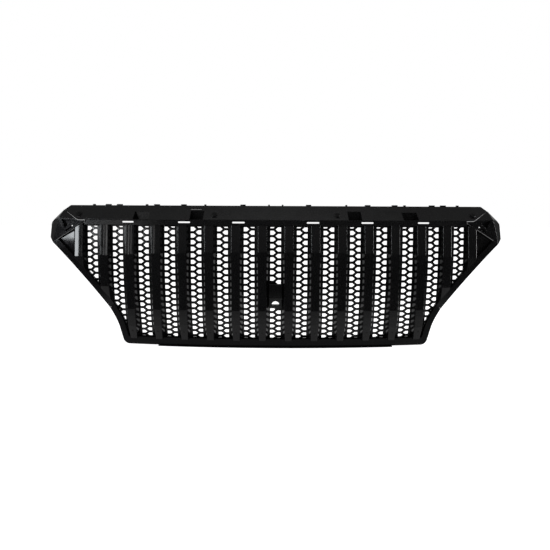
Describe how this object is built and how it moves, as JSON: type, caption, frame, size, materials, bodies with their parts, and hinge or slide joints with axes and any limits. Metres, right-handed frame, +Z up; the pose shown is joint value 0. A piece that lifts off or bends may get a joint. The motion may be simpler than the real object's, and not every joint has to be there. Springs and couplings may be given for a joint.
{
  "type": "front grille",
  "caption": "Wide vehicle front grille: upright gloss black bars over a honeycomb carrier, with a folded top rail, faceted corner caps, side trims and a lower frame.",
  "frame": {"origin": "the middle of the line between the two upper bolt holes, at the top face of the rail's bolt flange", "axes": "+X along the grille towards its right-hand end in the front view, +Y rearwards into the vehicle, +Z up"},
  "size_m": [1.1802, 0.1948, 0.3675],
  "materials": {
    "bar_gloss_black": "high gloss, moulded black",
    "bracket_satin_black": "fine satin grain",
    "frame_gloss_black": "gloss, moulded black",
    "honeycomb_black": "semi gloss, moulded black",
    "rail_satin_black": "fine satin grain",
    "retainer_nylon": "moulded nylon",
    "trim_gloss_black": "high gloss, moulded black",
    "zinc_steel": "zinc plated"
  },
  "bodies": {
    "grille": {"badge_plate": "bar_gloss_black", "bar_left_1": "bar_gloss_black", "bar_left_2": "bar_gloss_black", "bar_left_3": "bar_gloss_black", "bar_left_4": "bar_gloss_black", "bar_left_5": "bar_gloss_black", "bar_left_6": "bar_gloss_black", "bar_left_7": "bar_gloss_black", "bar_left_8": "bar_gloss_black", "bar_right_1": "bar_gloss_black", "bar_right_2": "bar_gloss_black", "bar_right_3": "bar_gloss_black", "bar_right_4": "bar_gloss_black", "bar_right_5": "bar_gloss_black", "bar_right_6": "bar_gloss_black", "bar_right_7": "bar_gloss_black", "bar_right_8": "bar_gloss_black", "bar_screws": "zinc_steel", "camera_bracket": "bracket_satin_black", "corner_cap_left": "trim_gloss_black", "corner_cap_right": "trim_gloss_black", "corner_panel_left": "trim_gloss_black", "corner_panel_right": "trim_gloss_black", "frame_screws": "zinc_steel", "honeycomb_carrier": "honeycomb_black", "lip_screws": "zinc_steel", "lower_frame": "frame_gloss_black", "lower_lip": "frame_gloss_black", "rail_screws": "zinc_steel", "retainer_body_inner_left": "retainer_nylon", "retainer_body_inner_right": "retainer_nylon", "retainer_body_outer_left": "retainer_nylon", "retainer_body_outer_right": "retainer_nylon", "side_trim_left": "trim_gloss_black", "side_trim_right": "trim_gloss_black", "top_rail": "rail_satin_black"},
    "retainer_pin_inner_left": {"retainer_pin_inner_left": "retainer_nylon"},
    "retainer_pin_inner_right": {"retainer_pin_inner_right": "retainer_nylon"},
    "retainer_pin_outer_left": {"retainer_pin_outer_left": "retainer_nylon"},
    "retainer_pin_outer_right": {"retainer_pin_outer_right": "retainer_nylon"}
  },
  "joints": [
    {"name": "pin_inner_left_pull", "type": "slide", "parent": "grille", "child": "retainer_pin_inner_left", "axis": [-0.0684, -0.6943, 0.7165], "range_m": [0, 0.006]},
    {"name": "pin_inner_right_pull", "type": "slide", "parent": "grille", "child": "retainer_pin_inner_right", "axis": [0.0684, -0.6943, 0.7165], "range_m": [0, 0.006]},
    {"name": "pin_outer_left_pull", "type": "slide", "parent": "grille", "child": "retainer_pin_outer_left", "axis": [-0.2259, -0.66, 0.7165], "range_m": [0, 0.006]},
    {"name": "pin_outer_right_pull", "type": "slide", "parent": "grille", "child": "retainer_pin_outer_right", "axis": [0.2259, -0.66, 0.7165], "range_m": [0, 0.006]}
  ]
}
